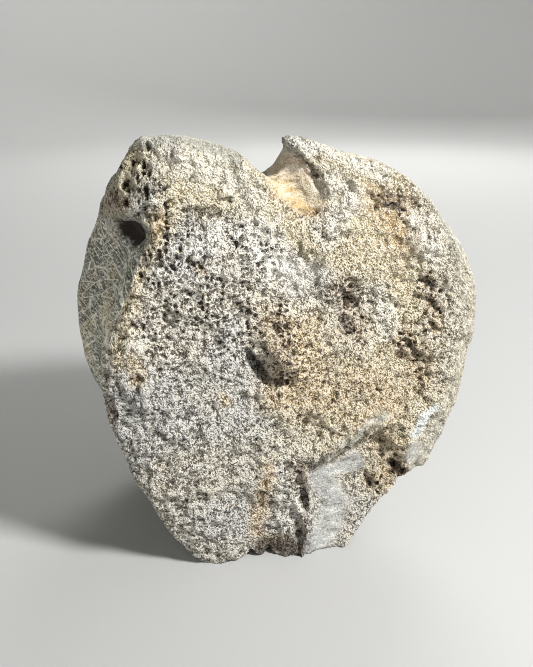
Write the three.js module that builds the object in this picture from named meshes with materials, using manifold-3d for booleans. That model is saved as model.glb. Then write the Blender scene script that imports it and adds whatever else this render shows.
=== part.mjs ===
// Fossil dinosaur vertebra: the spool-shaped centrum of a tail vertebra, with its arch and ribs lost.
// Millimetres, +Z up. The broken front face looks along -Y, and the bone stands on its lower rims at z = 0.
import * as THREE from "three";
import { mergeVertices } from "three/addons/utils/BufferGeometryUtils.js";
import { ImprovedNoise } from "three/addons/math/ImprovedNoise.js";
import Module from "manifold-3d";

const wasm = await Module();
wasm.setup();

// Driving dimensions
const LENGTH = 62; // front face to rear face, along the spine
const FRONT_FOOT_Y = -33; // the front face at the floor
const FACE_LEAN = 5 / 108; // the front face leans back this much per millimetre of height
const FRONT_ROUND = 6; // how far the worn front rim reaches along the length
const REAR_ROUND = 9; // the same for the rear rim
const WAIST_DEPTH = 0.17; // share of the radius lost halfway along the flanks
const BELLY_DEPTH = 0.12; // the same along the underside
const BELLY_TOP = 30; // the underside gives way to the flanks by this height
const DISH_DEPTH = 5; // hollow of the rear face
const AROUND = 92; // facets around the spool
const ALONG = 44; // facets from the middle of the front face to the middle of the rear face

// Rim outlines as [x, z], clockwise from the top as seen from the front, point for point alike
const FRONT_RIM = [
  [-7, 104], [1, 108.5], [13, 105], [25.5, 101], [40, 89.5], [50.3, 74], [53.3, 60], [52, 47],
  [47.5, 31.5], [39.5, 17], [28, 9], [13.5, -2.5], [-4, -4], [-21, -4],
  [-28.5, 4.5], [-38.5, 22.5], [-44, 35], [-46.5, 47], [-45.5, 59], [-40.5, 72], [-34.5, 84],
  [-38, 91.5], [-39.5, 97], [-36.5, 107], [-25, 109.5],
];
const REAR_RIM = [
  [-4, 90], [5, 89.5], [15, 89], [25, 87], [36, 81], [45, 70], [48.5, 57.5], [48, 46],
  [45, 33], [38, 18], [26, 6], [12, -2.5], [-2, -3], [-15, -2.5],
  [-27, 6], [-38, 18.5], [-45.5, 31], [-49, 46], [-49, 55], [-47.5, 64], [-45, 73],
  [-40.5, 79.5], [-35.5, 88], [-28.5, 94], [-16, 95],
];
const FRONT_AXIS = [0, 56];
const REAR_AXIS = [0, 51];
const FACE_OVAL = [45, 50]; // the rings of both faces near the middle are ovals of this shape
const OVAL_TO_RIM = [0.35, 0.98]; // and take the rim's shape between these shares of the radius

// Round lumps (+) and hollows (-) of the two faces, as [x, z, reach, height]
const FRONT_RELIEF = [
  [2, 56, 8, 2.6], // knob in the middle
  [-18, 70, 20, 1.8],
  [-22, 30, 16, 1.4],
  [10, 3, 12, 3.6], // right foot, which stands proud
  [27, 66, 11, -3.4], // trough inside the right rim
  [30, 46, 9, -2.6],
  [16, 64, 5, -2.2],
  [24, 88, 8, -2.4],
  [42, 62, 8, 1.6], // right rim
  [20, 29, 6, 2.2], // lip over the scoop
  [-34, 40, 8, 1.4],
];
const REAR_RELIEF = [
  [-14, 60, 12, -1.8],
  [20, 40, 10, 1.6],
  [6, 70, 9, 1.4],
  [-24, 34, 9, 1.3],
];

// Stubs of the broken tail ribs, high on each flank: [x side, height, reach, share of the waist filled]
const RIB_STUBS = [
  [-1, 92, 13, 1.0],
  [1, 84, 11, 0.8],
];

// The nerve canal along the top, falling to the rear, and the worn funnel at its front mouth
const CANAL = { at: [-5, -6, 101], half: [5.4, 7.6], turn: -14, fall: 11 };
const FUNNEL = { at: [2, -37.5, 96], half: [10, 13.5, 14], turn: -36 };

// The spalled scoop low on the front face: its outline as [x, z], and the ball that its hollow fits
const SCOOP_OUTLINE = [[4, 22.5], [26, 33.5], [31, 24], [33, 12], [31, -8], [1, -8], [6, 8]];
const SCOOP_BALL = { at: [15, -113, 40], half: [87, 87, 87], around: 64, along: 40 };
const SCOOP_START = -15; // the cut starts well inside the bone
const SCOOP_REACH = 40; // and runs this far forward

// The broken front of the left rib stub, as a block whose inner face is the break
const STUB_BREAK = { at: [-43.9, -31.6, 109.6], size: [24, 50, 40], turn: 52, tilt: 9 };
// Deep pits, as ovals
const PITS = [
  { at: [-7, -33.5, 52.5], half: [7, 5, 2.2], turn: 46 }, // under the knob
  { at: [37, -34, 12], half: [6.5, 11, 6], turn: 20 }, // chipped lower right rim
  { at: [-36.3, -22.5, 87.2], half: [6, 5.5, 3.3] }, // blood-vessel hole under the rib stub
  { at: [9, -37, 17], half: [3.6, 6, 7], turn: 8 }, // broken border of the scoop
];
// The groove along the underside, between the feet
const BELLY_GROOVE = { at: [-5.5, 0, -2.2], half: [7, 6.5], turn: 0, fall: 0 };
const CUT_LENGTH = 110; // longer than the bone
const FLOOR_DEPTH = 40;

// Unevenness as [size of a lump, height]: of spongy bone, of the smooth outer skin, and of the breaks
const SPONGY_LUMPS = [[14, 2.2], [6.5, 1.5]];
const SMOOTH_LUMPS = [[26, 1.8], [9, 0.8]];
const BREAK_LUMPS = [[11, 2.4], [5, 1.4]];
const FACE_TURN = [0.45, 0.8]; // smooth skin gives way to spongy bone as its normal turns along the spine

// Facets of the cuts: round the ovals, from pole to pole, along the grooves, and a block's facet size
const OVAL_AROUND = 20;
const OVAL_ALONG = 13;
const GROOVE_ALONG = 26;
const BLOCK_FACET = 3.6;

const MERGE_WITHIN = 1e-3; // corners this close are one
const SHORT_EDGE = 0.4; // edges that the cuts leave shorter than this are closed up
const FLAT_HEIGHT = 0.1; // and faces flatter than this are turned onto their neighbour

const { clamp, lerp, smoothstep, degToRad } = THREE.MathUtils;
const noise = new ImprovedNoise();

const toPoint = ([x, z]) => new THREE.Vector3(x, 0, z);
const frontRim = new THREE.CatmullRomCurve3(FRONT_RIM.map(toPoint), true, "centripetal");
const rearRim = new THREE.CatmullRomCurve3(REAR_RIM.map(toPoint), true, "centripetal");
const frontAxis = toPoint(FRONT_AXIS);
const rearAxis = toPoint(REAR_AXIS);

// Half of the spool's section: distance from the axis, for a typical radius, against distance along it
const TYPICAL_RADIUS = 50;
const FLAT_PART = 0.86; // the faces are flat out to this share of the radius
const SHOULDER = [0.96, 0.3]; // the rounding's middle, as shares of the radius and of the rounding
const section = new THREE.SplineCurve(
  [
    [0, 0],
    [FLAT_PART / 2, 0],
    [FLAT_PART, 0],
    [SHOULDER[0], SHOULDER[1] * FRONT_ROUND],
    [1, FRONT_ROUND],
    [1, LENGTH / 2],
    [1, LENGTH - REAR_ROUND],
    [SHOULDER[0], LENGTH - SHOULDER[1] * REAR_ROUND],
    [FLAT_PART, LENGTH],
    [FLAT_PART / 2, LENGTH],
    [0, LENGTH],
  ].map(([share, along]) => new THREE.Vector2(share * TYPICAL_RADIUS, along)),
);

const bell = (distance, reach) => Math.exp(-((distance / reach) ** 2));

function reliefAt(features, x, z) {
  return features.reduce(
    (sum, [fx, fz, reach, height]) => sum + height * bell(Math.hypot(x - fx, z - fz), reach),
    0,
  );
}

function lumpsAt(p, lumps) {
  return lumps.reduce(
    (sum, [size, height]) => sum + height * noise.noise(p.x / size, p.y / size, p.z / size),
    0,
  );
}

// How far the flank draws in at this place around the spool, as a share of the radius
function waistAt(x, z) {
  let depth = lerp(BELLY_DEPTH, WAIST_DEPTH, smoothstep(z, 0, BELLY_TOP));
  for (const [side, height, reach, filled] of RIB_STUBS) {
    if (Math.sign(x) === side) depth *= 1 - filled * bell(z - height, reach);
  }
  return depth;
}

// A point of the unbroken skin: u runs around the spool, v from the front face's middle to the rear's
function skinPoint(u, v) {
  const { x: radius, y: along } = section.getPointAt(v);
  const share = clamp(along / LENGTH, 0, 1);
  const rim = frontRim.getPoint(u).lerp(rearRim.getPoint(u), share);
  const axis = frontAxis.clone().lerp(rearAxis, share);
  const toRim = rim.clone().sub(axis);
  const rimShare = smoothstep(radius / TYPICAL_RADIUS, ...OVAL_TO_RIM);
  const ovalLength = toRim.length() / Math.hypot(toRim.x / FACE_OVAL[0], toRim.z / FACE_OVAL[1]);
  toRim.setLength(lerp(ovalLength, toRim.length(), rimShare));

  const middle = Math.sin(Math.PI * share) ** 2;
  const reach = (radius / TYPICAL_RADIUS) * (1 - waistAt(rim.x, rim.z) * middle);
  const p = axis.addScaledVector(toRim, reach);

  const onFront = 1 - smoothstep(along, 0, FRONT_ROUND);
  const onRear = smoothstep(along, LENGTH - REAR_ROUND, LENGTH);
  const dish = DISH_DEPTH * (1 - (radius / TYPICAL_RADIUS) ** 2);
  p.y = FRONT_FOOT_Y + FACE_LEAN * p.z * (1 - share) + along;
  p.y -= onFront * reliefAt(FRONT_RELIEF, p.x, p.z);
  p.y += onRear * (reliefAt(REAR_RELIEF, p.x, p.z) - dish);
  return p;
}

// A geometry with nothing but its corners, each of them shared by the faces that meet there
function merged(geometry) {
  const bare = geometry.clone();
  bare.deleteAttribute("normal");
  bare.deleteAttribute("uv");
  return mergeVertices(bare, MERGE_WITHIN);
}

// Moves every corner along its normal by the height given there
function roughened(geometry, heightAt) {
  const rough = merged(geometry);
  rough.computeVertexNormals();
  const { position, normal } = rough.attributes;
  for (let i = 0; i < position.count; i++) {
    const p = new THREE.Vector3().fromBufferAttribute(position, i);
    const n = new THREE.Vector3().fromBufferAttribute(normal, i);
    p.addScaledVector(n, heightAt(p, n));
    position.setXYZ(i, p.x, p.y, p.z);
  }
  return rough;
}

// The unbroken spool: a sphere's grid laid over the skin, lumpy where the spongy bone shows
function spoolGeometry() {
  const geometry = new THREE.SphereGeometry(1, AROUND, ALONG);
  const { position, uv } = geometry.attributes;
  for (let i = 0; i < position.count; i++) {
    const p = skinPoint(1 - uv.getX(i), 1 - uv.getY(i));
    position.setXYZ(i, p.x, p.y, p.z);
  }
  return roughened(geometry, (p, n) => {
    const spongy = smoothstep(Math.abs(n.y), ...FACE_TURN);
    return lerp(lumpsAt(p, SMOOTH_LUMPS), lumpsAt(p, SPONGY_LUMPS), spongy);
  });
}

// A closed geometry as a solid that can be cut
function solidOf(geometry) {
  const closed = merged(geometry);
  return new wasm.Manifold(
    new wasm.Mesh({
      numProp: 3,
      vertProperties: new Float32Array(closed.attributes.position.array),
      triVerts: new Uint32Array(closed.index.array),
    }),
  );
}

const edgesOf = ([a, b, c]) => [[a, b, c], [b, c, a], [c, a, b]];

// Merges the two ends of every short edge, so that no face is a needle
function closeShortEdges(points, faces) {
  const isShort = ([a, b]) => points[a].distanceTo(points[b]) < SHORT_EDGE;
  let kept = faces;
  for (;;) {
    const edge = kept.flatMap(edgesOf).find(isShort);
    if (!edge) return kept;
    const [stays, goes] = edge;
    const moved = kept.map((face) => face.map((corner) => (corner === goes ? stays : corner)));
    kept = moved.filter((face) => new Set(face).size === face.length);
  }
}

// Drops the pairs of faces that closing an edge has folded onto each other
function dropFolds(faces) {
  const keyOf = (face) => [...face].sort().join();
  const counts = new Map();
  for (const key of faces.map(keyOf)) counts.set(key, (counts.get(key) ?? 0) + 1);
  return faces.filter((face) => counts.get(keyOf(face)) === 1);
}

// Where a corner lies almost on the edge opposite it, that edge is turned to run through the corner
function turnFlatFaces(points, faces) {
  const heightOver = ([a, b, c]) => {
    const base = new THREE.Line3(points[a], points[b]);
    return base.closestPointToPoint(points[c], true, new THREE.Vector3()).distanceTo(points[c]);
  };
  for (const [at, face] of faces.entries()) {
    const flat = edgesOf(face).find((edge) => heightOver(edge) < FLAT_HEIGHT);
    if (!flat) continue;
    const [a, b, c] = flat;
    const beside = faces.findIndex((other, i) => i !== at && other.includes(a) && other.includes(b));
    const d = faces[beside].find((corner) => corner !== a && corner !== b);
    faces[at] = [a, d, c];
    faces[beside] = [d, b, c];
  }
  return faces;
}

function geometryOf(solid) {
  const mesh = solid.getMesh();
  const points = [];
  for (let i = 0; i < mesh.vertProperties.length; i += 3) {
    points.push(new THREE.Vector3().fromArray(mesh.vertProperties, i));
  }
  const faces = [];
  for (let i = 0; i < mesh.triVerts.length; i += 3) faces.push([...mesh.triVerts.slice(i, i + 3)]);
  const sound = turnFlatFaces(points, dropFolds(closeShortEdges(points, faces)));
  const geometry = merged(new THREE.BufferGeometry().setFromPoints(points).setIndex(sound.flat()));
  geometry.computeVertexNormals();
  return geometry;
}

const broken = (p) => lumpsAt(p, BREAK_LUMPS);
const worn = (p) => lumpsAt(p, SMOOTH_LUMPS);

function oval({ at, half, turn = 0, around = OVAL_AROUND, along = OVAL_ALONG }, unevenness = worn) {
  const geometry = new THREE.SphereGeometry(1, around, along);
  geometry.scale(...half).rotateY(degToRad(turn));
  return solidOf(roughened(geometry.translate(...at), unevenness));
}

function block({ at, size, turn, tilt }) {
  const facets = size.map((side) => Math.round(side / BLOCK_FACET));
  const geometry = new THREE.BoxGeometry(...size, ...facets);
  geometry.rotateY(degToRad(tilt)).rotateZ(degToRad(turn));
  return solidOf(roughened(geometry.translate(...at), broken));
}

// A ball trimmed to the scoop's outline, so that a ledge stays above it
function scoop() {
  const outline = new THREE.Shape(SCOOP_OUTLINE.map(([x, z]) => new THREE.Vector2(x, z)));
  const prism = new THREE.ExtrudeGeometry(outline, { depth: SCOOP_REACH, bevelEnabled: false });
  prism.rotateX(Math.PI / 2).translate(0, SCOOP_START, 0);
  return solidOf(prism).intersect(oval(SCOOP_BALL));
}

// A groove with an oval section that runs the length of the bone
function groove({ at, half, turn, fall }) {
  const geometry = new THREE.CylinderGeometry(1, 1, CUT_LENGTH, OVAL_AROUND, GROOVE_ALONG);
  geometry.scale(half[0], 1, half[1]).rotateY(degToRad(turn)).rotateX(degToRad(-fall));
  return solidOf(roughened(geometry.translate(...at), worn));
}

function floorBlock() {
  const geometry = new THREE.BoxGeometry(2 * CUT_LENGTH, 2 * CUT_LENGTH, FLOOR_DEPTH);
  return solidOf(geometry.translate(0, 0, -FLOOR_DEPTH / 2));
}

function vertebraGeometry() {
  const cuts = [
    groove(CANAL),
    oval(FUNNEL),
    scoop(),
    block(STUB_BREAK),
    ...PITS.map((pit) => oval(pit, broken)),
    groove(BELLY_GROOVE),
    floorBlock(),
  ];
  const geometry = geometryOf(cuts.reduce((bone, cut) => bone.subtract(cut), solidOf(spoolGeometry())));
  geometry.computeBoundingBox();
  const middle = geometry.boundingBox.getCenter(new THREE.Vector3());
  return geometry.translate(-middle.x, -middle.y, 0);
}

const fossilBone = new THREE.MeshStandardMaterial({ color: 0x9c8f7c, roughness: 0.92, metalness: 0 });

const vertebra = new THREE.Mesh(vertebraGeometry(), fossilBone);
vertebra.name = "vertebra";

const part = new THREE.Group();
part.add(vertebra);

export default part;
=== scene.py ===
"""Fossil dinosaur vertebra, laid out as an add-on: the bone with its spongy breaks, and the stage."""
import math

import bmesh
import bpy
import numpy as np
from mathutils import Matrix, Vector, noise
from mathutils.bvhtree import BVHTree


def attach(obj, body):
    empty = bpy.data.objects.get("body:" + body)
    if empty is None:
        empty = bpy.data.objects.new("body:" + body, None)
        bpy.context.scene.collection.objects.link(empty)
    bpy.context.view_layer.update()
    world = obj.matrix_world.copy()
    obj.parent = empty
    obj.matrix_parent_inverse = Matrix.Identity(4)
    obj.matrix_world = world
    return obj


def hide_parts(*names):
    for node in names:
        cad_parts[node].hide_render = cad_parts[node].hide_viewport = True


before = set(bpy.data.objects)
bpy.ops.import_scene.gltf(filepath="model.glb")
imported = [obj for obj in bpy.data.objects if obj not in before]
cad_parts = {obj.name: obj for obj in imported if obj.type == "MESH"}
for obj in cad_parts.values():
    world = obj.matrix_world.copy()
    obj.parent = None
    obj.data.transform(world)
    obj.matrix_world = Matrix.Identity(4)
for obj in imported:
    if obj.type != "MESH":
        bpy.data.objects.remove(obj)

bl_info = {
    "name": "Fossil Vertebra",
    "version": (1, 0, 0),
    "blender": (4, 5, 0),
    "location": "3D View > Sidebar > Fossil",
    "description": "Builds the bone, its finish and its stage on the loaded frame",
    "category": "Add Mesh",
}

MM = 0.001
BONE_NODE = "vertebra"
BONE_NAME = "vertebra_bone"

# How often points are drawn to the mean of their neighbours, and by what share where it isn't the whole way
SKIN_RELAXING = (5, 0.6)
REFINED_RELAXING = (1, 0.5)
HEALING_ROUNDS = 90
BROAD_ROUNDS = 30
SIGHT_BLUR_ROUNDS = 4

# Millimetres before a point within which nothing hides it, and the height of the flat soles of the feet
SIGHT_GAP = 5.0
SOLE_HEIGHT = 0.3

# Faces are made finer where a normal's part along the bone is less than this and they are at all spongy
FRONT_FACING = 0.3
FINE_FROM = 0.2

# Layers of lumps as (strength, size in millimetres, seed)
KNOBS = [(0.9, 9.0, 2.2), (1.1, 4.2, 6.1), (0.75, 2.3, 9.4)]
SKIN_SWELLS = [(0.45, 8.0, 4.8), (0.15, 3.0, 7.7)]
BORDER_WANDER = [(0.08, 9.0, 3.7), (0.08, 3.5, 8.1)]
HOLE_WANDER = [(0.15, 3.0, 2.7)]
SCRATCH_WANDER = [(5.0, 7.0, 6.6)]

# How far the strokes' edges waver in pixels, the size of their waves in millimetres, and the waves' seeds
SHAPE_WAVER = (3.0, 4.0)
PAINT_WAVER = (5.0, 5.0)
WAVER_SEEDS = (1.3, 5.9)

# The photograph's frame in pixels, and where its camera stood, in millimetres and degrees
PHOTO_SIZE = (533, 667)
PHOTO_FOCAL = 750.0
CAMERA_PLACE = (-57.37, -185.42, 125.0)
CAMERA_TURN = -17.0
CAMERA_PITCH = 20.8
SENSOR_WIDTH = 36.0

# Where things lie on the bone, as strokes in the photograph's pixels: (radius, points of its middle line)
FUNNEL_SKIN = [
    (13, [(284, 156), (290, 178), (297, 196)]),
    (13, [(276, 172), (284, 188), (306, 204)]),
    (10, [(297, 164), (310, 186), (318, 202)]),
]
SCOOP_SKIN = [
    (20, [(326, 480), (336, 500), (330, 524), (318, 546)]),
    (15, [(320, 476), (344, 466), (356, 460)]),
    (9, [(410, 458), (417, 447)]),
]
LEDGE_BAND = [(9, [(338, 446), (362, 432), (386, 414)])]
SHOULDER_SKIN = [(13, [(140, 139), (180, 138), (215, 146), (236, 157)])]
RIM_BAND = [
    (19, [(440, 196), (462, 240), (473, 300), (470, 345), (458, 395), (440, 432), (418, 468)]),
]
OPEN_PORES = [
    (60, [(178, 262), (205, 300), (232, 322)]),
    (34, [(150, 330), (170, 352)]),
    (30, [(250, 244), (262, 262)]),
    (34, [(284, 320), (296, 350), (290, 372)]),
    (20, [(342, 290), (352, 304), (352, 332)]),
    (18, [(428, 284), (436, 300), (436, 330)]),
    (18, [(384, 200), (404, 212)]),
    (14, [(402, 340), (416, 358)]),
    (14, [(290, 470), (302, 500)]),
]
BROKEN_CELLS = [
    (22, [(124, 154), (116, 180), (110, 200)]),
    (18, [(140, 152), (140, 180), (132, 202)]),
    (12, [(160, 168), (158, 190), (150, 208)]),
    (9, [(168, 206), (164, 226)]),
    (13, [(392, 470), (376, 484)]),
]
WARM_WASH = [
    (110, [(360, 180), (390, 240), (400, 330), (390, 420)]),
    (80, [(300, 330), (320, 400), (360, 430)]),
    (50, [(200, 160), (250, 180)]),
]
STRAW_TINT = [
    (34, [(196, 172), (232, 166), (256, 186)]),
    (26, [(184, 186), (160, 224), (150, 246)]),
    (30, [(140, 150), (124, 180), (112, 206)]),
    (16, [(140, 270), (126, 312), (116, 360)]),
    (20, [(464, 260), (472, 310), (466, 360), (452, 404)]),
    (40, [(330, 168), (352, 210), (345, 250)]),
    (30, [(290, 226), (312, 250)]),
    (40, [(186, 186), (226, 196), (262, 204)]),
]
OCHRE_TINT = [
    (24, [(280, 184), (300, 200), (316, 208)]),
    (34, [(372, 196), (398, 214), (408, 238)]),
    (46, [(288, 330), (304, 356), (296, 386)]),
    (30, [(272, 398), (310, 402), (346, 394)]),
    (34, [(352, 376), (392, 396), (372, 420)]),
    (26, [(400, 338), (416, 362), (420, 380)]),
    (18, [(267, 470), (262, 500), (258, 530)]),
    (28, [(384, 446), (400, 462), (378, 478)]),
    (14, [(132, 362), (140, 380)]),
    (12, [(262, 542), (282, 538)]),
    (11, [(430, 300), (438, 330)]),
    (7, [(222, 398), (226, 404)]),
    (8, [(196, 262), (202, 272)]),
]
# Brown iron stains, with two painted shadows: the line under the horn's overhang and the shade in the
# recess between the feet
BROWN_STAINS_AND_SHADOWS = [
    (22, [(340, 288), (350, 304), (352, 330)]),
    (24, [(276, 320), (284, 346), (276, 366)]),
    # Painted shadow under the horn's overhang
    (10, [(302, 156), (312, 174), (326, 192)]),
    (18, [(388, 200), (408, 208)]),
    (18, [(430, 284), (436, 312)]),
    (15, [(404, 344), (414, 358)]),
    (15, [(300, 470), (304, 500), (298, 530)]),
    (14, [(390, 462), (402, 476)]),
    (10, [(80, 300), (83, 340), (88, 376)]),
    (8, [(110, 404), (110, 418)]),
    (7, [(99, 366), (105, 376), (102, 392)]),
    (7, [(108, 428), (122, 456)]),
    # Painted shade in the recess between the feet
    (20, [(262, 548), (298, 548)]),
]
PALE_TINT = [
    (44, [(250, 232), (278, 262), (296, 286)]),
    (34, [(190, 166), (226, 170), (250, 196)]),
    (24, [(376, 296), (386, 326)]),
    (22, [(418, 224), (432, 252)]),
    (26, [(196, 250), (216, 236)]),
    (18, [(288, 138), (312, 146), (348, 156), (384, 174)]),
    (20, [(300, 500), (290, 520)]),
    (30, [(330, 180), (350, 200), (330, 232)]),
]
GOLD_TINT = [
    (12, [(280, 190), (292, 196)]),
    (9, [(302, 203), (314, 209)]),
    (14, [(392, 222), (402, 240)]),
    (12, [(162, 216), (156, 236)]),
]
TAN_TINT = [(15, [(272, 166), (286, 158), (298, 172)])]
BLUSH_TINT = [(7, [(106, 206), (114, 200), (120, 206)])]
WHITE_CHIP = [(6, [(413, 436), (423, 423), (435, 407)])]
EVEN_GRAIN = [
    (72, [(330, 165), (370, 200), (410, 250)]),
    (46, [(180, 165), (250, 180)]),
    (42, [(270, 230), (300, 270)]),
]
# Painted shade in the crevices of pits and hollows, and a painted shadow line under the ledge's crest on
# the lower right
PAINTED_CREVICE_SHADE = [
    (6, [(249, 352), (257, 366), (266, 379)]),
    (5, [(266, 380), (276, 384), (286, 383)]),
    (5, [(424, 282), (434, 288)]),
    (4, [(428, 300), (438, 308)]),
    (4, [(430, 322), (438, 330)]),
    (4, [(404, 338), (416, 354)]),
    (5, [(344, 292), (354, 300)]),
    (5, [(346, 320), (352, 332)]),
    (5, [(300, 472), (305, 490), (304, 508)]),
    (4, [(297, 522), (300, 534)]),
    (5, [(392, 464), (402, 474)]),
    (4, [(367, 478), (374, 485)]),
    (4, [(384, 203), (402, 211)]),
    (4, [(310, 469), (334, 456), (356, 443), (376, 428)]),
]

# Cuts of the solid that are filled smoothly up to their surroundings
HEALED = [
    (13, [(267, 352), (279, 366), (293, 376)]),
    (6, [(270, 388), (284, 390), (296, 386)]),
    (11, [(302, 170), (312, 188), (318, 202)]),
    (13, [(374, 438), (386, 450), (394, 462)]),
    (14, [(120, 231), (138, 236)]),
    (13, [(378, 428), (390, 435), (398, 444)]),
]

# Recess between the two feet: its stroke, and how far its lip lies forward, in millimetres
FOOT_RECESS = [(15, [(264, 546), (280, 545), (293, 548)])]
RECESS_LIP = 1.0

# Vessel hole in the left wall: its middle, half its width, length and height, and its depth, in millimetres
HOLE_MIDDLE = (-37.5, -9.0, 84.8)
HOLE_REACH = (7.5, 10.5, 4.6)
HOLE_DEPTH = 4.0

# The left wall is scratched below about this height, over this fade ever more, and other skin only a little
SCRATCHED_TOP = 90.0
SCRATCHED_FADE = 10.0
SCRATCHED_LEAST = 0.12

# Middle of the layers in the rim, in millimetres, and how far a turn round it stretches them
RIM_MIDDLE = (0.0, 0.0, 52.0)
RIM_STRETCH = 12.0

# Hollows and hills as (depth or height in millimetres, stroke)
HOLLOWS = [
    (1.8, (6, [(248, 352), (257, 366), (266, 379)])),
    (1.8, (5, [(266, 380), (274, 384), (284, 383)])),
    (1.1, (4, [(242, 282), (250, 291)])),
    (1.2, (8, [(342, 292), (352, 304)])),
    (1.2, (8, [(346, 318), (352, 336)])),
    (1.5, (6, [(424, 282), (434, 290)])),
    (1.4, (6, [(426, 300), (438, 310)])),
    (1.2, (5, [(430, 322), (438, 332)])),
    (1.2, (4, [(404, 338), (418, 356)])),
    (0.7, (7, [(380, 204), (404, 212)])),
    (1.6, (7, [(288, 466), (302, 486), (306, 512)])),
    (1.6, (6, [(296, 520), (300, 536)])),
    (2.0, (5, [(312, 470), (334, 457), (356, 444), (370, 434)])),
    (2.2, (7, [(390, 462), (402, 474)])),
    (1.6, (6, [(366, 476), (374, 486)])),
    (1.6, (5, [(108, 402), (112, 418)])),
    (1.3, (4, [(99, 366), (105, 374)])),
    (1.3, (3, [(98, 388), (104, 393)])),
    (1.4, (4, [(108, 428), (114, 436)])),
    (1.3, (4, [(118, 450), (125, 458)])),
    (1.2, (3, [(103, 348), (108, 352)])),
    (1.1, (4, [(310, 176), (322, 188)])),
    (1.0, (3, [(289, 148), (302, 155), (310, 168), (317, 176)])),
    (0.9, (3, [(194, 208), (200, 216)])),
    (1.0, (3, [(166, 322), (172, 328)])),
    (1.1, (4, [(130, 384), (140, 380)])),
]
HILLS = [
    (1.2, (12, [(266, 340), (282, 360), (298, 370)])),
    (1.2, (6, [(287, 141), (298, 147), (306, 156)])),
    (1.5, (8, [(314, 461), (342, 445), (380, 419)])),
    (1.2, (13, [(322, 250), (330, 290), (328, 330)])),
    (1.0, (16, [(380, 300), (386, 330)])),
    (1.0, (12, [(414, 226), (424, 250)])),
    (1.5, (11, [(130, 143), (142, 139)])),
    (1.0, (11, [(386, 432), (398, 440)])),
]

# Stage in metres: lights as (place, size), what they are aimed at, and the floor's bend up into a wall
KEY_LIGHT = ((0.30, -0.36, 0.44), 0.11)
FILL_LIGHT = ((-0.75, -0.45, 0.45), 0.9)
BACK_LIGHT = ((0.40, 0.70, 0.50), 0.5)
BONE_MIDDLE = (0.0, 0.0, 0.05)
BACKDROP_LIGHT = ((0.0, 0.3, 1.6), 1.0)
BACKDROP_MIDDLE = (0.0, 1.5, 0.4)
BACKDROP_SPREAD = 90.0
BACKDROP_COUNT = 4
FLOOR_RADIUS = 0.9
FLOOR_BEND = 0.6
WALL_TOP = 3.0
BEND_STEPS = 16
FLOOR_SIDES = 64


def smoothstep(low, high, values):
    """0 up to low, 1 from high on, and a smooth rise between."""
    share = np.clip((values - low) / (high - low), 0.0, 1.0)
    return share * share * (3.0 - 2.0 * share)


def camera_axes():
    """Right, up and forward of the photograph's camera."""
    turn = math.radians(CAMERA_TURN)
    pitch = math.radians(CAMERA_PITCH)
    level = math.cos(pitch)
    forward = Vector((-math.sin(turn) * level, math.cos(turn) * level, -math.sin(pitch)))
    right = Vector((math.cos(turn), math.sin(turn), 0.0))
    return right, right.cross(forward), forward


def photo_pixels(points):
    """The photograph's pixel at which each point is seen."""
    right, up, forward = (np.array(axis) for axis in camera_axes())
    away = points - np.array(CAMERA_PLACE)
    depth = away @ forward
    across = PHOTO_SIZE[0] / 2 + PHOTO_FOCAL * (away @ right) / depth
    down = PHOTO_SIZE[1] / 2 - PHOTO_FOCAL * (away @ up) / depth
    return np.stack([across, down], axis=1)


def stroke_mask(pixels, strokes, core=0.35):
    """1 on the strokes' middle lines, fading to 0 at their radius."""
    mask = np.zeros(len(pixels))
    for radius, line in strokes:
        for start, end in zip(line, line[1:]):
            start = np.array(start, float)
            run = np.array(end, float) - start
            along = np.clip((pixels - start) @ run / (run @ run), 0.0, 1.0)
            distance = np.linalg.norm(pixels - start - along[:, None] * run, axis=1)
            mask = np.maximum(mask, 1.0 - smoothstep(core, 1.0, distance / radius))
    return mask


def lumps(points, size, seed=0.0):
    """Smooth noise between about -1 and 1, whose lumps have this size in millimetres."""
    scaled = points / size + seed
    return np.array([noise.noise(place) for place in scaled.tolist()])


def layered_lumps(points, layers):
    return sum(strength * lumps(points, size, seed) for strength, size, seed in layers)


def wavering_pixels(points, waver):
    """The photograph's pixel of each point, moved a little so that strokes get uneven edges."""
    reach, size = waver
    waves = [lumps(points, size, seed) for seed in WAVER_SEEDS]
    return photo_pixels(points) + reach * np.stack(waves, axis=1)


def hole_mask(points):
    """1 in the middle of the vessel hole, fading to 0 at its wavering edge."""
    away = (points - np.array(HOLE_MIDDLE)) / np.array(HOLE_REACH)
    distance = np.linalg.norm(away, axis=1) + layered_lumps(points, HOLE_WANDER)
    return 1.0 - smoothstep(0.5, 1.0, distance)


def read_points(mesh):
    flat = np.empty(len(mesh.vertices) * 3)
    mesh.vertices.foreach_get("co", flat)
    return flat.reshape(-1, 3) / MM


def read_normals(mesh):
    flat = np.empty(len(mesh.vertices) * 3)
    mesh.vertices.foreach_get("normal", flat)
    return flat.reshape(-1, 3)


def read_edges(mesh):
    flat = np.empty(len(mesh.edges) * 2, int)
    mesh.edges.foreach_get("vertices", flat)
    return flat.reshape(-1, 2)


def write_points(mesh, points):
    mesh.vertices.foreach_set("co", (points * MM).ravel())
    mesh.update()


def neighbour_mean(values, edges):
    """The mean of each point's neighbours."""
    count = len(values)
    ends = np.concatenate([edges, edges[:, ::-1]])
    degree = np.maximum(np.bincount(ends[:, 0], minlength=count), 1)
    columns = [np.bincount(ends[:, 0], values[ends[:, 1], i], count) for i in range(values.shape[1])]
    return np.stack(columns, axis=1) / degree[:, None]


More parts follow.
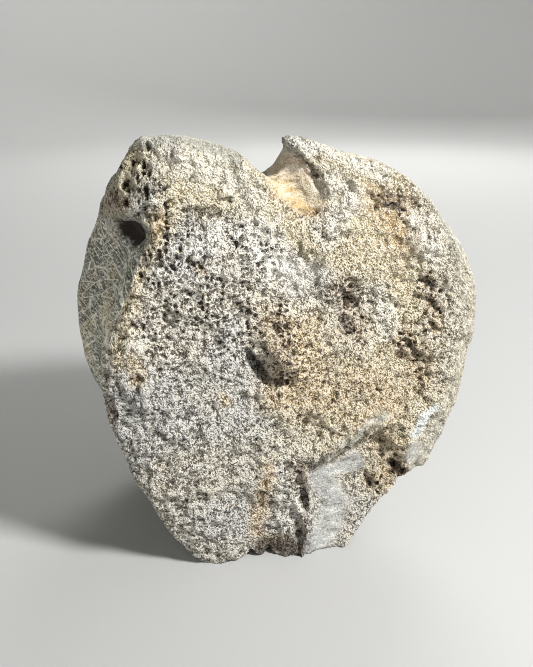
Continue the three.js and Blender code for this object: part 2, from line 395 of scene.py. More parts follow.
def shown_in_photo(mesh):
    """1 where the photograph shows a point, fading to 0 where it faces away or lies behind something."""
    points = read_points(mesh)
    edges = read_edges(mesh)
    to_camera = np.array(CAMERA_PLACE) - points
    to_camera /= np.linalg.norm(to_camera, axis=1, keepdims=True)
    facing = smoothstep(-0.25, 0.05, np.sum(to_camera * read_normals(mesh), axis=1))
    net = BVHTree.FromPolygons(points.tolist(), [tuple(face.vertices) for face in mesh.polygons])
    starts = points + SIGHT_GAP * to_camera
    sights = zip(starts.tolist(), to_camera.tolist())
    clear = np.array([[net.ray_cast(start, way)[0] is None] for start, way in sights], float)
    for _ in range(SIGHT_BLUR_ROUNDS):
        clear = neighbour_mean(clear, edges)
    return facing * clear[:, 0]


def relax(mesh, rounds, share):
    """Draws every point towards the mean of its neighbours, and leaves the flat feet on the floor."""
    points = read_points(mesh)
    edges = read_edges(mesh)
    on_floor = points[:, 2] < SOLE_HEIGHT
    for _ in range(rounds):
        moved = points + share * (neighbour_mean(points, edges) - points)
        moved[on_floor, 2] = points[on_floor, 2]
        points = moved
    write_points(mesh, points)


def heal(mesh, strokes):
    """Spans each stroke with a smooth skin held at the stroke's border."""
    points = read_points(mesh)
    edges = read_edges(mesh)
    share = stroke_mask(photo_pixels(points), strokes, core=0.8) * (points[:, 1] < 0.0)
    for _ in range(HEALING_ROUNDS):
        points += share[:, None] * (neighbour_mean(points, edges) - points)
    write_points(mesh, points)


def apply_modifiers(obj):
    """Puts the modified mesh in place of the object's own."""
    graph = bpy.context.evaluated_depsgraph_get()
    made = bpy.data.meshes.new_from_object(
        obj.evaluated_get(graph), preserve_all_data_layers=True, depsgraph=graph
    )
    plain = obj.data
    obj.modifiers.clear()
    obj.data = made
    bpy.data.meshes.remove(plain)


def even_skin(node, voxel):
    """A copy of the solid with an even net of small faces, its facets smoothed away."""
    bone = bpy.data.objects.new(BONE_NAME, node.data.copy())
    bpy.context.scene.collection.objects.link(bone)
    remesh = bone.modifiers.new("Even skin", "REMESH")
    remesh.mode = "VOXEL"
    remesh.voxel_size = voxel
    remesh.use_smooth_shade = True
    apply_modifiers(bone)
    relax(bone.data, *SKIN_RELAXING)
    return bone


def broad_normals(mesh):
    """Normals that pass over pits and lumps."""
    normals = read_normals(mesh)
    edges = read_edges(mesh)
    for _ in range(BROAD_ROUNDS):
        normals = neighbour_mean(normals, edges)
    return normals / np.linalg.norm(normals, axis=1, keepdims=True)


def spongy_share(points, normals):
    """1 on the two broken ends, 0 on the smooth outer skin around the spool."""
    return smoothstep(0.46, 0.6, np.abs(normals[:, 1]) + layered_lumps(points, BORDER_WANDER))


def flat_share(normals):
    """1 on the flat of the two ends, less towards their rims."""
    return 0.4 + 0.6 * smoothstep(0.6, 0.92, np.abs(normals[:, 1]))


def refine(mesh, chosen):
    """Splits the faces around the chosen points in four."""
    net = bmesh.new()
    net.from_mesh(mesh)
    net.verts.ensure_lookup_table()
    faces = [face for face in net.faces if any(chosen[vert.index] for vert in face.verts)]
    edges = list({edge for face in faces for edge in face.edges})
    bmesh.ops.subdivide_edges(net, edges=edges, cuts=1, use_grid_fill=True)
    net.to_mesh(mesh)
    net.free()
    mesh.update()


def store(mesh, name, values):
    """Keeps one value, place or colour for each point under this name."""
    kinds = {1: ("FLOAT", "value"), 3: ("FLOAT_VECTOR", "vector"), 4: ("FLOAT_COLOR", "color")}
    width = 1 if values.ndim == 1 else values.shape[1]
    kind, field = kinds[width]
    layer = mesh.attributes.new(name, kind, "POINT")
    layer.data.foreach_set(field, values.astype(np.float32).ravel())


class Nodes:
    """Adds nodes to a tree. An input is given as a constant or as the socket that feeds it."""

    def __init__(self, tree):
        self.tree = tree
        self.shading = tree.bl_idname == "ShaderNodeTree"

    def add(self, kind, inputs=None, **settings):
        node = self.tree.nodes.new(kind)
        for name, value in settings.items():
            setattr(node, name, value)
        for name, value in (inputs or {}).items():
            self.feed(node.inputs[name], value)
        return node

    def feed(self, socket, value):
        if isinstance(value, bpy.types.NodeSocket):
            self.tree.links.new(value, socket)
        else:
            socket.default_value = value

    def attribute(self, name, kind="FLOAT"):
        if self.shading:
            outputs = self.add("ShaderNodeAttribute", attribute_name=name).outputs
            return outputs[{"FLOAT": "Fac", "FLOAT_VECTOR": "Vector", "FLOAT_COLOR": "Color"}[kind]]
        return self.add("GeometryNodeInputNamedAttribute", {"Name": name}, data_type=kind).outputs[0]

    def math(self, operation, first, second=0.0, third=0.0):
        node = self.add("ShaderNodeMath", {0: first, 1: second, 2: third}, operation=operation)
        return node.outputs[0]

    def vector(self, operation, first, second=(0.0, 0.0, 0.0)):
        return self.add("ShaderNodeVectorMath", {0: first, 1: second}, operation=operation).outputs[0]

    def scaled(self, vector, factor):
        return self.add("ShaderNodeVectorMath", {0: vector, "Scale": factor}, operation="SCALE").outputs[0]

    def step(self, value, low, high, start=0.0, end=1.0):
        node = self.add(
            "ShaderNodeMapRange",
            {"Value": value, "From Min": low, "From Max": high, "To Min": start, "To Max": end},
            interpolation_type="SMOOTHSTEP",
        )
        return node.outputs[0]

    def mix(self, factor, first, second):
        return self.add("ShaderNodeMix", {0: factor, 6: first, 7: second}, data_type="RGBA").outputs[2]

    def parts(self, vector):
        return self.add("ShaderNodeSeparateXYZ", {0: vector}).outputs

    def noise(self, place, size, detail=2.0, roughness=0.5):
        return self.add(
            "ShaderNodeTexNoise",
            {"Vector": place, "Scale": 1.0 / size, "Detail": detail, "Roughness": roughness},
        )

    def cells(self, place, size, feature="F1"):
        return self.add("ShaderNodeTexVoronoi", {"Vector": place, "Scale": 1.0 / size}, feature=feature)


def fine_relief(nodes, bone):
    """The grains, pores and broken cells: heights in millimetres, and masks for their colour."""
    rest = nodes.attribute("rest", "FLOAT_VECTOR")
    spongy = nodes.attribute("spongy")
    open_pores = nodes.attribute("open")
    broken = nodes.attribute("broken")
    sway = nodes.vector("SUBTRACT", nodes.noise(rest, 1.6, 3.0, 0.65).outputs["Color"], (0.5, 0.5, 0.5))
    place = nodes.vector("ADD", rest, nodes.scaled(sway, 1.7))

    grains = nodes.cells(place, bone.grain_size)
    dome = nodes.math("SUBTRACT", 0.55, grains.outputs["Distance"])
    fine = nodes.noise(rest, 0.6 * bone.grain_size, 2.0, 0.6).outputs["Fac"]
    clump = nodes.noise(rest, 2.6 * bone.grain_size, 2.0, 0.55).outputs["Fac"]
    swell = nodes.math("SUBTRACT", clump, 0.5)
    grain = nodes.math("MULTIPLY_ADD", dome, 0.6, fine)
    grain = nodes.math("MULTIPLY_ADD", swell, 0.8, grain)

    pores = nodes.cells(place, bone.pore_spacing)
    pore_chance = nodes.parts(pores.outputs["Color"])[0]
    hole = nodes.step(pores.outputs["Distance"], 0.5, 0.34)
    unfilled = nodes.step(nodes.math("MULTIPLY_ADD", open_pores, 0.75, pore_chance), 0.7, 1.15)
    pore = nodes.math("MULTIPLY", nodes.math("MULTIPLY", hole, unfilled), spongy)

    upright = nodes.vector("MULTIPLY", place, (1.0, 1.0, 0.6))
    hollows = nodes.cells(upright, bone.cell_size)
    cell_chance = nodes.parts(hollows.outputs["Color"])[0]
    cell = nodes.math("MULTIPLY", nodes.step(hollows.outputs["Distance"], 0.5, 0.34), broken)
    cell = nodes.math("MULTIPLY", cell, nodes.step(cell_chance, 0.3, 0.6, 0.1, 1.0))

    knobbly = nodes.attribute("knobbly")
    coarse = nodes.math("MULTIPLY", nodes.math("MULTIPLY", swell, 2.6 * bone.grain_height), knobbly)
    coarse = nodes.math("MULTIPLY_ADD", pore, -bone.pore_depth, coarse)
    coarse = nodes.math("MULTIPLY_ADD", cell, -bone.cell_depth, coarse)
    closed = nodes.math("MULTIPLY_ADD", nodes.math("MULTIPLY", open_pores, spongy), -0.5, spongy)
    bumps = nodes.math("MULTIPLY", nodes.math("SUBTRACT", grain, 0.5), bone.grain_height)
    bumps = nodes.math("MULTIPLY", bumps, closed)
    bumps = nodes.math("MULTIPLY_ADD", nodes.math("MAXIMUM", pore, cell), -0.4 * bone.pore_depth, bumps)
    return {
        "rest": rest,
        "coarse": coarse,
        "bumps": bumps,
        "grain": grain,
        "chance": nodes.parts(grains.outputs["Color"]),
        "pore": pore,
        "cell": cell,
    }


def pore_modifier(bone):
    """A tree that sinks the pores and cells into the mesh and raises clumps of grains."""
    tree = bpy.data.node_groups.new("Fine relief", "GeometryNodeTree")
    tree.interface.new_socket("Geometry", in_out="INPUT", socket_type="NodeSocketGeometry")
    tree.interface.new_socket("Geometry", in_out="OUTPUT", socket_type="NodeSocketGeometry")
    nodes = Nodes(tree)
    relief = fine_relief(nodes, bone)
    normal = nodes.add("GeometryNodeInputNormal").outputs[0]
    offset = nodes.scaled(normal, nodes.math("MULTIPLY", relief["coarse"], MM))
    before = nodes.add("NodeGroupInput").outputs[0]
    moved = nodes.add("GeometryNodeSetPosition", {"Geometry": before, "Offset": offset}).outputs[0]
    nodes.add("NodeGroupOutput", {0: moved})
    return tree


def spongy_finish(nodes, bone, relief, tint, speckle):
    """Bleached grains and ridges, with dark gaps, pores and cells between them, partly dark brown fill and
    partly painted shade.
    """
    lightness, warmth = relief["chance"][:2]
    level = nodes.math("MULTIPLY_ADD", nodes.math("SUBTRACT", speckle, 0.5), 0.3, relief["grain"])
    level = nodes.math("MULTIPLY_ADD", nodes.math("SUBTRACT", lightness, 0.5), 0.1, level)
    pale = nodes.mix(0.6, (*bone.bleached, 1.0), tint)
    colour = nodes.mix(nodes.step(level, 0.46, 0.64), tint, pale)
    colour = nodes.mix(nodes.step(warmth, 0.9, 0.98, 0.0, 0.4), colour, (*bone.straw, 1.0))
    # The low places between grains: dark brown fill and painted shade
    gap = nodes.step(level, 0.485, 0.36, 0.0, 0.94)
    gap = nodes.math("MULTIPLY", gap, nodes.step(nodes.attribute("even"), 0.0, 1.0, 1.0, 0.5))
    brown = nodes.mix(0.18, (*bone.gap_brown, 1.0), tint)
    colour = nodes.mix(gap, colour, brown)
    # Pores and cells: dark fill and painted shade inside them
    colour = nodes.mix(nodes.math("MULTIPLY", relief["pore"], 0.8), colour, (*bone.pore_and_shade_dark, 1.0))
    return nodes.mix(nodes.math("MULTIPLY", relief["cell"], 0.95), colour, (*bone.pore_and_shade_dark, 1.0))


def scratches(nodes, rest, lean, spacing):
    """Long fine lines that cross the side of the bone at this lean."""
    turned = nodes.add(
        "ShaderNodeVectorRotate", {"Vector": rest, "Angle": lean}, rotation_type="X_AXIS"
    ).outputs[0]
    drawn = nodes.vector("MULTIPLY", turned, (0.4, 0.1, 1.0))
    edge = nodes.cells(drawn, spacing, "DISTANCE_TO_EDGE").outputs["Distance"]
    return nodes.step(edge, 0.06, 0.015)


def skin_finish(nodes, bone, rest, speckle):
    """Grey outer skin with fibres along the bone and crossing scratches: its colour, and the scratches."""
    scratched = nodes.attribute("scratched")
    along = nodes.vector("MULTIPLY", rest, (1.0, 0.15, 1.0))
    fibre = nodes.noise(along, 0.5, 3.0, 0.65).outputs["Fac"]
    cloud = nodes.noise(rest, 6.0, 3.0, 0.6).outputs["Fac"]
    stain = nodes.noise(rest, 15.0, 4.0, 0.65).outputs["Fac"]
    rising = nodes.math("MULTIPLY", scratches(nodes, rest, 0.5, 2.4), nodes.step(cloud, 0.4, 0.55))
    falling = nodes.math("MULTIPLY", scratches(nodes, rest, -0.4, 3.2), nodes.step(cloud, 0.6, 0.45))
    scratch = nodes.math("MULTIPLY", nodes.math("MAXIMUM", rising, falling), scratched)
    level = nodes.math("MULTIPLY_ADD", nodes.math("SUBTRACT", speckle, 0.5), 0.3, fibre)
    colour = nodes.mix(nodes.step(cloud, 0.35, 0.65), (*bone.skin_dark, 1.0), (*bone.skin_light, 1.0))
    colour = nodes.mix(nodes.step(stain, 0.5, 0.66, 0.0, 0.6), colour, (*bone.straw, 1.0))
    colour = nodes.mix(nodes.step(stain, 0.46, 0.34, 0.0, 0.5), colour, (*bone.brown, 1.0))
    most_pale = nodes.step(scratched, 0.0, 1.0, 0.32, 0.8)
    pale_share = nodes.math("MULTIPLY", nodes.step(level, 0.5, 0.66), most_pale)
    colour = nodes.mix(pale_share, colour, (*bone.skin_pale, 1.0))
    most_dark = nodes.step(scratched, 0.0, 1.0, 0.45, 0.85)
    dark_share = nodes.math("MULTIPLY", nodes.step(level, 0.48, 0.36), most_dark)
    colour = nodes.mix(dark_share, colour, (*bone.gap_brown, 1.0))
    return nodes.mix(nodes.math("MULTIPLY", scratch, 0.75), colour, (*bone.skin_pale, 1.0)), scratch


def worn_finish(nodes, bone, rest, tint, speckle):
    """Smooth hollows with fine winding lines, streaks and flecks."""
    wind = nodes.noise(rest, 1.0, 1.5, 0.5).outputs["Fac"]
    line = nodes.step(nodes.math("ABSOLUTE", nodes.math("SUBTRACT", wind, 0.5)), 0.04, 0.005)
    drawn = nodes.vector("MULTIPLY", rest, (0.6, 0.6, 1.5))
    streak = nodes.noise(drawn, 0.5, 3.0, 0.7).outputs["Fac"]
    level = nodes.math("MULTIPLY_ADD", nodes.math("SUBTRACT", speckle, 0.5), 0.5, streak)
    banded = nodes.vector("MULTIPLY", rest, (0.35, 0.35, 1.2))
    band = nodes.noise(banded, 2.0, 3.0, 0.6).outputs["Fac"]
    colour = nodes.mix(nodes.step(band, 0.5, 0.68, 0.0, 0.35), tint, (*bone.bleached, 1.0))
    colour = nodes.mix(nodes.step(band, 0.48, 0.34, 0.0, 0.45), colour, (*bone.gap_brown, 1.0))
    colour = nodes.mix(nodes.math("MULTIPLY", line, 0.3), colour, (*bone.gap_brown, 1.0))
    colour = nodes.mix(nodes.step(level, 0.46, 0.3, 0.0, 0.5), colour, (*bone.gap_brown, 1.0))
    return nodes.mix(nodes.step(level, 0.54, 0.74, 0.0, 0.5), colour, (*bone.bleached, 1.0))


def rim_layers(nodes, rest):
    """Fine layers that run round the rim."""
    parts = nodes.parts(nodes.vector("SUBTRACT", rest, RIM_MIDDLE))
    flat = nodes.add("ShaderNodeCombineXYZ", {0: parts[0], 2: parts[2]}).outputs[0]
    reach = nodes.add("ShaderNodeVectorMath", {0: flat}, operation="LENGTH").outputs["Value"]
    around = nodes.math("MULTIPLY", nodes.math("ARCTAN2", parts[0], parts[2]), RIM_STRETCH)
    place = nodes.add("ShaderNodeCombineXYZ", {0: reach, 1: parts[1], 2: around}).outputs[0]
    return nodes.noise(place, 0.55, 2.0, 0.65).outputs["Fac"]


def bone_material(bone):
    """Mineralised bone: pale ridges and grains, dark pores, iron stains and a smooth grey outer skin, with
    painted shade in the gaps, pores, crevices, the recess between the feet and the vessel hole.
    """
    material = bpy.data.materials.new("fossil bone")
    material.use_nodes = True
    material.node_tree.nodes.clear()
    nodes = Nodes(material.node_tree)
    relief = fine_relief(nodes, bone)
    rest = relief["rest"]
    tint = nodes.attribute("tint", "FLOAT_COLOR")
    skin = nodes.attribute("skin")
    worn = nodes.attribute("worn")
    rim = nodes.attribute("rim")
    speckle = nodes.noise(rest, 0.4, 1.0, 0.5).outputs["Fac"]

    colour = spongy_finish(nodes, bone, relief, tint, speckle)
    skin_colour, scratch = skin_finish(nodes, bone, rest, speckle)
    colour = nodes.mix(skin, colour, skin_colour)
    colour = nodes.mix(worn, colour, worn_finish(nodes, bone, rest, tint, speckle))
    layer = rim_layers(nodes, rest)
    pale_layer = nodes.step(layer, 0.5, 0.68, 0.0, 0.6)
    dark_layer = nodes.step(layer, 0.46, 0.32, 0.0, 0.55)
    rim_colour = nodes.mix(pale_layer, (*bone.rim_straw, 1.0), (*bone.bleached, 1.0))
    rim_colour = nodes.mix(dark_layer, rim_colour, (*bone.gap_brown, 1.0))
    colour = nodes.mix(nodes.math("MULTIPLY", rim, 0.65), colour, rim_colour)
    # Painted shade in the crevices, the recess between the feet and the vessel hole
    colour = nodes.mix(nodes.attribute("dark"), colour, (*bone.pore_and_shade_dark, 1.0))

    height = nodes.math("MULTIPLY_ADD", speckle, 0.2, relief["bumps"])
    height = nodes.math("MULTIPLY_ADD", layer, nodes.math("MULTIPLY", rim, 0.2), height)
    height = nodes.math("MULTIPLY_ADD", scratch, nodes.math("MULTIPLY", skin, 0.05), height)
    bump = nodes.add("ShaderNodeBump", {"Strength": 1.0, "Distance": MM, "Height": height}).outputs[0]
    surface = nodes.add(
        "ShaderNodeBsdfPrincipled",
        {
            "Base Color": colour,
            "Roughness": nodes.step(skin, 0.0, 1.0, 0.92, 0.75),
            "Normal": bump,
            "Specular IOR Level": 0.3,
        },
    )
    nodes.add("ShaderNodeOutputMaterial", {"Surface": surface.outputs[0]})
    return material


def blend_tint(tint, mask, colour):
    return tint + mask[:, None] * (np.array(colour) - tint)


class FossilBoneSettings(bpy.types.PropertyGroup):
    """Sizes and colours of the bone."""

    voxel: bpy.props.FloatProperty(
        name="Net size", description="Size of a face of the outer skin", default=0.95 * MM, unit="LENGTH"
    )
    pore_spacing: bpy.props.FloatProperty(
        name="Pore spacing", description="Distance between pores, in millimetres", default=1.2
    )
    pore_depth: bpy.props.FloatProperty(
        name="Pore depth", description="Depth of an open pore, in millimetres", default=0.7
    )
    grain_size: bpy.props.FloatProperty(
        name="Grain size", description="Size of a grain, in millimetres", default=0.68
    )
    grain_height: bpy.props.FloatProperty(
        name="Grain height", description="Height of the tallest grains, in millimetres", default=1.0
    )
    cell_size: bpy.props.FloatProperty(
        name="Cell size",
        description="Distance between the cells of the broken stub, in millimetres",
        default=1.45,
    )
    cell_depth: bpy.props.FloatProperty(
        name="Cell depth", description="Depth of those cells, in millimetres", default=1.2
    )
    bone_grey: bpy.props.FloatVectorProperty(
        name="Bone grey",
        description="Weathered spongy bone",
        subtype="COLOR",
        default=(0.49, 0.48, 0.45),
    )
    bleached: bpy.props.FloatVectorProperty(
        name="Bleached",
        description="Tops of ridges and grains",
        subtype="COLOR",
        default=(0.84, 0.82, 0.75),
    )
    straw: bpy.props.FloatVectorProperty(
        name="Straw", description="Pale yellow stain", subtype="COLOR", default=(0.64, 0.535, 0.325)
    )
    ochre: bpy.props.FloatVectorProperty(
        name="Ochre", description="Iron stain", subtype="COLOR", default=(0.56, 0.415, 0.23)
    )
    gold: bpy.props.FloatVectorProperty(
        name="Gold", description="Brightest iron stain", subtype="COLOR", default=(0.56, 0.38, 0.16)
    )
    tan: bpy.props.FloatVectorProperty(
        name="Tan", description="Smooth wall of the funnel", subtype="COLOR", default=(0.54, 0.43, 0.30)
    )
    # Also the painted shadow under the horn's overhang and the painted shade in the recess between the feet
    brown: bpy.props.FloatVectorProperty(
        name="Brown", description="Dark iron stain", subtype="COLOR", default=(0.26, 0.18, 0.105)
    )
    blush: bpy.props.FloatVectorProperty(
        name="Blush", description="Pinkish stain on the stub", subtype="COLOR", default=(0.52, 0.37, 0.27)
    )
    chip_white: bpy.props.FloatVectorProperty(
        name="Chip white", description="Fresh chip on the rim", subtype="COLOR", default=(0.66, 0.69, 0.68)
    )
    worn_grey: bpy.props.FloatVectorProperty(
        name="Worn grey", description="Smooth scoop", subtype="COLOR", default=(0.31, 0.315, 0.305)
    )
    # In the gaps between grains this brown is partly painted shade
    gap_brown: bpy.props.FloatVectorProperty(
        name="Gap brown", description="Gaps between grains", subtype="COLOR", default=(0.048, 0.034, 0.022)
    )
    # Inside the pores and cells this is partly dark fill and partly painted shade. It is also the painted
    # shade in the crevices, the recess between the feet and the vessel hole
    pore_and_shade_dark: bpy.props.FloatVectorProperty(
        name="Pore dark", description="Inside of a pore", subtype="COLOR", default=(0.022, 0.016, 0.012)
    )
    rim_straw: bpy.props.FloatVectorProperty(
        name="Rim straw", description="Fine-grained rim", subtype="COLOR", default=(0.35, 0.335, 0.28)
    )
    skin_dark: bpy.props.FloatVectorProperty(
        name="Skin dark",
        description="Dark parts of the outer skin",
        subtype="COLOR",
        default=(0.11, 0.115, 0.095),
    )
    skin_light: bpy.props.FloatVectorProperty(
        name="Skin light",
        description="Light parts of the outer skin",
        subtype="COLOR",
        default=(0.29, 0.29, 0.245),
    )
    skin_pale: bpy.props.FloatVectorProperty(
        name="Skin pale", description="Scratches and fibres", subtype="COLOR", default=(0.92, 0.91, 0.78)
    )


class FossilStageSettings(bpy.types.PropertyGroup):
    """Floor and light."""

    floor_colour: bpy.props.FloatVectorProperty(
        name="Floor", description="Colour of the floor", subtype="COLOR", default=(0.44, 0.44, 0.43)
    )
    key_power: bpy.props.FloatProperty(
        name="Key light", description="Power of the main light", default=6.3, unit="POWER"
    )
    fill_power: bpy.props.FloatProperty(
        name="Fill light", description="Power of the light from the left", default=0.8, unit="POWER"
    )
    back_power: bpy.props.FloatProperty(
        name="Back light", description="Power of the light from behind", default=5.0, unit="POWER"
    )
    backdrop_power: bpy.props.FloatProperty(
        name="Backdrop light", description="Power of each light on the backdrop", default=7.0, unit="POWER"
    )
    sky: bpy.props.FloatProperty(
        name="Sky", description="Strength of the light from all round", default=0.05
    )


class FOSSIL_OT_bone(bpy.types.Operator):
    """Build the vertebra's visual mesh and finish from its solid"""

    bl_idname = "fossil.bone"
    bl_label = "Build Bone"

    def execute(self, context):
        bone = context.scene.fossil_bone
        piece = even_skin(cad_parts[BONE_NODE], bone.voxel)
        mesh = piece.data
        points = read_points(mesh)
        normals = read_normals(mesh)
        front = spongy_share(points, normals) * (normals[:, 1] < FRONT_FACING)
        refine(mesh, front > FINE_FROM)
        relax(mesh, *REFINED_RELAXING)
        self.shape(mesh)
        self.paint(mesh, bone)
        pores = piece.modifiers.new("Fine relief", "NODES")
        pores.node_group = pore_modifier(bone)
        apply_modifiers(piece)
        points = read_points(piece.data)
        points[:, 2] = np.maximum(points[:, 2], 0.0)
        write_points(piece.data, points)
        piece.data.materials.clear()
        piece.data.materials.append(bone_material(bone))
        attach(piece, "root")
        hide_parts(BONE_NODE)
        return {"FINISHED"}

    def shape(self, mesh):
        """Lumps, hollows and ledges that are too fine for the solid."""
        heal(mesh, HEALED)
        points = read_points(mesh)
        normals = read_normals(mesh)
        seen = shown_in_photo(mesh)
        broad = broad_normals(mesh)
        spongy = spongy_share(points, broad)
        pixels = wavering_pixels(points, SHAPE_WAVER)
        smooth = seen * np.maximum(stroke_mask(pixels, FUNNEL_SKIN), stroke_mask(pixels, SCOOP_SKIN))
        height = spongy * flat_share(broad) * (1.0 - smooth) * layered_lumps(points, KNOBS)
        height += (1.0 - spongy) * layered_lumps(points, SKIN_SWELLS)
        for depth, stroke in HOLLOWS:
            height -= depth * seen * stroke_mask(pixels, [stroke], core=0.1)
        for rise, stroke in HILLS:
            height += rise * seen * stroke_mask(pixels, [stroke], core=0.1)
        height -= HOLE_DEPTH * hole_mask(points)
        points += height[:, None] * normals
        recess = stroke_mask(photo_pixels(points), FOOT_RECESS, core=0.5) * (points[:, 1] < 0.0)
        points[:, 1] -= RECESS_LIP * recess
        points[:, 2] *= 1.0 - recess
        points[:, 2] = np.maximum(points[:, 2], 0.0)
        write_points(mesh, points)

    def paint(self, mesh, bone):
        """Stores where each finish lies, the slow changes of colour, and where shade is painted."""
        points = read_points(mesh)
        seen = shown_in_photo(mesh)
        pixels = wavering_pixels(points, PAINT_WAVER)

        def marked(strokes, core=0.35):
            return seen * stroke_mask(pixels, strokes, core)

        def washed(strokes):
            return seen * stroke_mask(pixels, strokes, core=0.0)

        funnel = marked(FUNNEL_SKIN)
        scoop = marked(SCOOP_SKIN)
        shoulder = marked(SHOULDER_SKIN)
        rim = marked(RIM_BAND)
        broken = marked(BROKEN_CELLS, core=0.7)
        chip = marked(WHITE_CHIP)
        ledge = washed(LEDGE_BAND)
        worn = np.maximum.reduce([funnel, scoop, 0.6 * shoulder, 0.6 * chip, 0.7 * ledge])
        broad = broad_normals(mesh)
        spongy = np.maximum(spongy_share(points, broad), broken)
        skin = (1.0 - spongy) * (1.0 - 0.7 * rim) * (1.0 - worn)
        spongy = spongy * (1.0 - 0.95 * worn) * (1.0 - 0.4 * rim)

        tint = np.tile(np.array(bone.bone_grey), (len(points), 1))
        hidden = 1.0 - seen
        drift = smoothstep(-0.2, 0.5, lumps(points, 14.0, 0.4))
        tint = blend_tint(tint, (0.3 + 0.5 * hidden) * drift, bone.straw)
        tint = blend_tint(tint, 0.8 * hidden * smoothstep(0.1, 0.5, lumps(points, 17.0, 3.1)), bone.ochre)
        tint = blend_tint(tint, 0.7 * hidden * smoothstep(0.2, 0.6, lumps(points, 11.0, 7.3)), bone.brown)
        stains = (
            (0.85, washed(WARM_WASH), bone.straw),
            (0.9, washed(STRAW_TINT), bone.straw),
            (0.85, washed(OCHRE_TINT), bone.ochre),
            (0.6, washed(GOLD_TINT), bone.gold),
            (0.8, marked(TAN_TINT), bone.tan),
            (0.75, washed(BROWN_STAINS_AND_SHADOWS), bone.brown),
            (0.6, washed(PALE_TINT), bone.bleached),
            (0.9, marked(BLUSH_TINT), bone.blush),
            (0.9, scoop, bone.worn_grey),
            (0.9, ledge, bone.skin_light),
            (0.85, shoulder, bone.skin_light),
            (1.0, chip, bone.chip_white),
        )
        for strength, mask, colour in stains:
            tint = blend_tint(tint, strength * mask, colour)

        open_pores = np.maximum(washed(OPEN_PORES), hidden * smoothstep(0.0, 0.5, lumps(points, 15.0, 5.2)))
        left_wall = smoothstep(0.4, 0.75, -broad[:, 0])
        below = SCRATCHED_TOP - points[:, 2] + layered_lumps(points, SCRATCH_WANDER)
        patchy = np.maximum(seen, smoothstep(-0.3, 0.5, lumps(points, 12.0, 8.8)))
        scratched = left_wall * smoothstep(0.0, SCRATCHED_FADE, below) * patchy
        # Painted shade: the recess between the feet, the crevices, the line under the ledge's crest and the
        # vessel hole are darkened towards the pore colour
        recess = stroke_mask(pixels, FOOT_RECESS) * (points[:, 1] < 0.0)
        dark = np.maximum(0.7 * recess, 0.65 * marked(PAINTED_CREVICE_SHADE, core=0.1))
        dark = np.maximum(dark, smoothstep(0.2, 0.7, hole_mask(points)))

        store(mesh, "rest", points)
        store(mesh, "tint", np.column_stack([tint, np.ones(len(tint))]))
        store(mesh, "spongy", spongy)
        store(mesh, "knobbly", spongy * flat_share(broad))
        store(mesh, "open", open_pores)
        store(mesh, "broken", broken)
        store(mesh, "skin", skin)
        store(mesh, "worn", worn)
        store(mesh, "rim", rim)
        store(mesh, "scratched", SCRATCHED_LEAST + (1.0 - SCRATCHED_LEAST) * scratched)
        store(mesh, "dark", dark)
        store(mesh, "even", washed(EVEN_GRAIN))


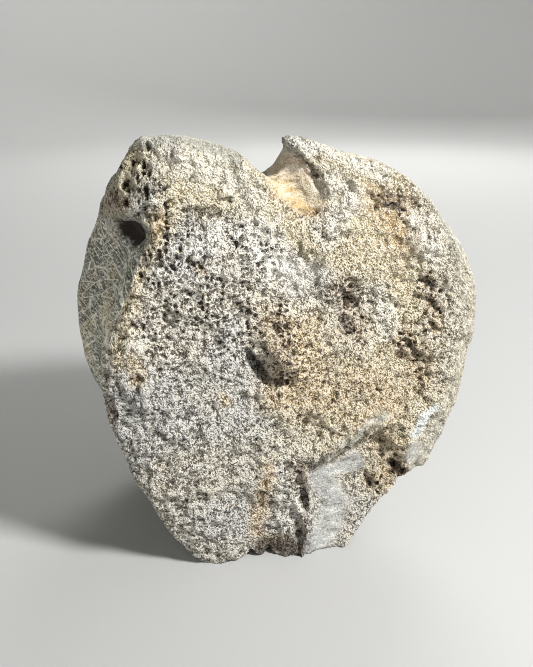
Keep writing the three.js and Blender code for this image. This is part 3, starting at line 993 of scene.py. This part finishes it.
class FOSSIL_OT_stage(bpy.types.Operator):
    """Set the floor, the soft lights and the camera"""

    bl_idname = "fossil.stage"
    bl_label = "Set Stage"

    def execute(self, context):
        settings = context.scene.fossil_stage
        self.floor(context, settings)
        self.light(context, "Key light", *KEY_LIGHT, BONE_MIDDLE, settings.key_power)
        self.light(context, "Fill light", *FILL_LIGHT, BONE_MIDDLE, settings.fill_power)
        self.light(context, "Back light", *BACK_LIGHT, BONE_MIDDLE, settings.back_power)
        place, size = BACKDROP_LIGHT
        for i in range(BACKDROP_COUNT):
            turn = Matrix.Rotation(math.tau * i / BACKDROP_COUNT, 4, "Z")
            wall = turn @ Vector(BACKDROP_MIDDLE)
            lamp = self.light(
                context, "Backdrop light", turn @ Vector(place), size, wall, settings.backdrop_power
            )
            lamp.spread = math.radians(BACKDROP_SPREAD)
        world = bpy.data.worlds.new("Studio")
        world.use_nodes = True
        backdrop = world.node_tree.nodes["Background"]
        backdrop.inputs["Color"].default_value = (*settings.floor_colour, 1.0)
        backdrop.inputs["Strength"].default_value = settings.sky
        context.scene.world = world
        context.scene.view_settings.view_transform = "Standard"
        context.scene.cycles.denoising_prefilter = "NONE"
        context.scene.cycles.filter_width = 1.0
        self.camera(context)
        return {"FINISHED"}

    def floor(self, context, settings):
        """A round floor that bends up into a wall all round the bone."""
        sides = FLOOR_SIDES
        profile = [(FLOOR_RADIUS, 0.0)]
        for i in range(1, BEND_STEPS + 1):
            turn = math.radians(90.0) * i / BEND_STEPS
            out = FLOOR_RADIUS + FLOOR_BEND * math.sin(turn)
            profile.append((out, FLOOR_BEND * (1.0 - math.cos(turn))))
        profile.append((FLOOR_RADIUS + FLOOR_BEND, WALL_TOP))
        turns = [math.tau * i / sides for i in range(sides)]
        points = [(r * math.cos(turn), r * math.sin(turn), z) for r, z in profile for turn in turns]
        faces = [tuple(range(sides))]
        for ring in range(len(profile) - 1):
            for i in range(sides):
                low = ring * sides + i
                beside = ring * sides + (i + 1) % sides
                faces.append((low, low + sides, beside + sides, beside))
        mesh = bpy.data.meshes.new("studio_floor")
        mesh.from_pydata(points, [], faces)
        mesh.shade_smooth()
        material = bpy.data.materials.new("studio floor")
        material.use_nodes = True
        shader = material.node_tree.nodes["Principled BSDF"]
        shader.inputs["Base Color"].default_value = (*settings.floor_colour, 1.0)
        shader.inputs["Roughness"].default_value = 0.9
        mesh.materials.append(material)
        floor = bpy.data.objects.new("studio_floor", mesh)
        context.scene.collection.objects.link(floor)

    def light(self, context, name, place, size, target, power):
        """A square soft light that shines at the target."""
        lamp = bpy.data.lights.new(name, "AREA")
        lamp.energy = power
        lamp.size = size
        holder = bpy.data.objects.new(name, lamp)
        holder.location = place
        aim = Vector(target) - Vector(place)
        holder.rotation_euler = aim.to_track_quat("-Z", "Y").to_euler()
        context.scene.collection.objects.link(holder)
        return lamp

    def camera(self, context):
        """A camera where the photograph was taken."""
        right, up, forward = camera_axes()
        lens = bpy.data.cameras.new("Photo camera")
        lens.sensor_width = SENSOR_WIDTH
        lens.lens = PHOTO_FOCAL * SENSOR_WIDTH / max(PHOTO_SIZE)
        lens.clip_start = 0.01
        holder = bpy.data.objects.new("Photo camera", lens)
        turn = Matrix((right, up, -forward)).transposed().to_4x4()
        holder.matrix_world = Matrix.Translation(Vector(CAMERA_PLACE) * MM) @ turn
        context.scene.collection.objects.link(holder)
        context.scene.camera = holder


class VIEW3D_PT_fossil(bpy.types.Panel):
    """Sizes, colours and build steps of the fossil"""

    bl_label = "Fossil Vertebra"
    bl_space_type = "VIEW_3D"
    bl_region_type = "UI"
    bl_category = "Fossil"

    def draw(self, context):
        for settings in (context.scene.fossil_bone, context.scene.fossil_stage):
            box = self.layout.box()
            for name in settings.bl_rna.properties.keys():
                if name not in {"rna_type", "name"}:
                    box.prop(settings, name)
        self.layout.operator(FOSSIL_OT_bone.bl_idname)
        self.layout.operator(FOSSIL_OT_stage.bl_idname)


CLASSES = (FossilBoneSettings, FossilStageSettings, FOSSIL_OT_bone, FOSSIL_OT_stage, VIEW3D_PT_fossil)


def register():
    for kind in CLASSES:
        bpy.utils.register_class(kind)
    bpy.types.Scene.fossil_bone = bpy.props.PointerProperty(type=FossilBoneSettings)
    bpy.types.Scene.fossil_stage = bpy.props.PointerProperty(type=FossilStageSettings)


def unregister():
    del bpy.types.Scene.fossil_stage
    del bpy.types.Scene.fossil_bone
    for kind in reversed(CLASSES):
        bpy.utils.unregister_class(kind)


def main():
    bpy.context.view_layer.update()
    register()
    bpy.ops.fossil.bone()
    bpy.ops.fossil.stage()


if __name__ == "__main__":
    main()
